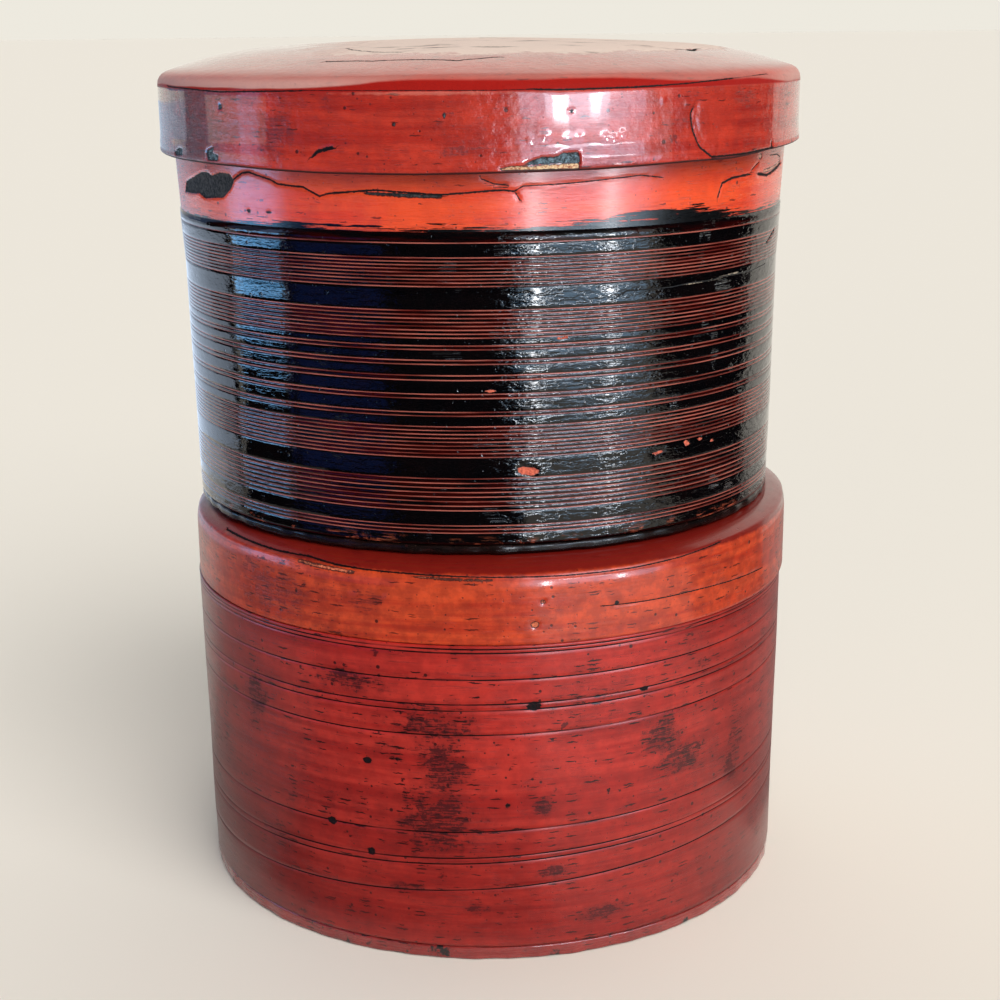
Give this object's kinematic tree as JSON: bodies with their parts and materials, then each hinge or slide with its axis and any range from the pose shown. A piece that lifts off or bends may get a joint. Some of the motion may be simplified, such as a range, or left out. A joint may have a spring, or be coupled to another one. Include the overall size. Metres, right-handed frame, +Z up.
{
  "type": "lacquer betel box",
  "caption": "Stacked pair of round lidded lacquer betel boxes: a black line-turned box with a domed overlapping lid, on a red box with a flush lid, each with a lift-out tray.",
  "frame": {"origin": "middle of the lower box's flat underside, on its axis", "axes": "+Z up along the lower box's axis, -Y towards the pictured front, +X to the viewer's right"},
  "size_m": [0.1567, 0.1584, 0.2069],
  "materials": {
    "red_lacquer": "worn satin lacquer, brick red",
    "orange_brown_lacquer": "worn satin lacquer, orange brown",
    "orange_red_lacquer": "cracked lacquer undercoat, orange red",
    "black_lacquer": "polished lacquer, black, cut by fine lines",
    "lid_lacquer": "polished lacquer, brick red, cracked along its edges",
    "putty_ground": "bamboo core under dark putty",
    "bamboo_core": "bare coiled bamboo",
    "inner_lacquer": "bamboo and board under thin dark red lacquer",
    "tray_lacquer": "bamboo under red lacquer"
  },
  "bodies": {
    "lower_box": {"lower_foot_hoop": "red_lacquer", "lower_bottom": "inner_lacquer", "lower_wall": "inner_lacquer", "lower_neck_hoop": "inner_lacquer", "lower_lacquer": "red_lacquer", "lower_tray_ledge": "inner_lacquer"},
    "lower_tray": {"lower_tray_floor": "tray_lacquer", "lower_tray_wall": "tray_lacquer"},
    "lower_lid": {"lower_lid_hoop": "bamboo_core", "lower_lid_panel": "inner_lacquer", "lower_lid_lacquer": "orange_brown_lacquer"},
    "upper_box": {"upper_foot_hoop": "putty_ground", "upper_bottom": "inner_lacquer", "upper_wall": "putty_ground", "upper_undercoat": "orange_red_lacquer", "upper_black_lacquer": "black_lacquer", "upper_tray_ledge": "inner_lacquer"},
    "upper_tray": {"upper_tray_floor": "tray_lacquer", "upper_tray_wall": "tray_lacquer"},
    "upper_lid": {"upper_lid_hoop": "bamboo_core", "upper_lid_panel": "inner_lacquer", "upper_lid_lacquer": "lid_lacquer"}
  },
  "joints": [
    {"name": "lower_lid_lift", "type": "slide", "parent": "lower_box", "child": "lower_lid", "axis": [0, 0, 1], "range_m": [0, 0.12]},
    {"name": "lower_tray_lift", "type": "slide", "parent": "lower_box", "child": "lower_tray", "axis": [0, 0, 1], "range_m": [0, 0.06]},
    {"name": "upper_box_lift", "type": "slide", "parent": "lower_lid", "child": "upper_box", "axis": [0, 0, 1], "range_m": [0, 0.1]},
    {"name": "upper_lid_lift", "type": "slide", "parent": "upper_box", "child": "upper_lid", "axis": [0, 0, 1], "range_m": [0, 0.12]},
    {"name": "upper_tray_lift", "type": "slide", "parent": "upper_box", "child": "upper_tray", "axis": [0, 0, 1], "range_m": [0, 0.06]}
  ],
  "couplings": [
    {"joint": "lower_tray_lift", "follows": "lower_lid_lift", "ratio": 0.5},
    {"joint": "upper_tray_lift", "follows": "upper_lid_lift", "ratio": 0.5}
  ]
}
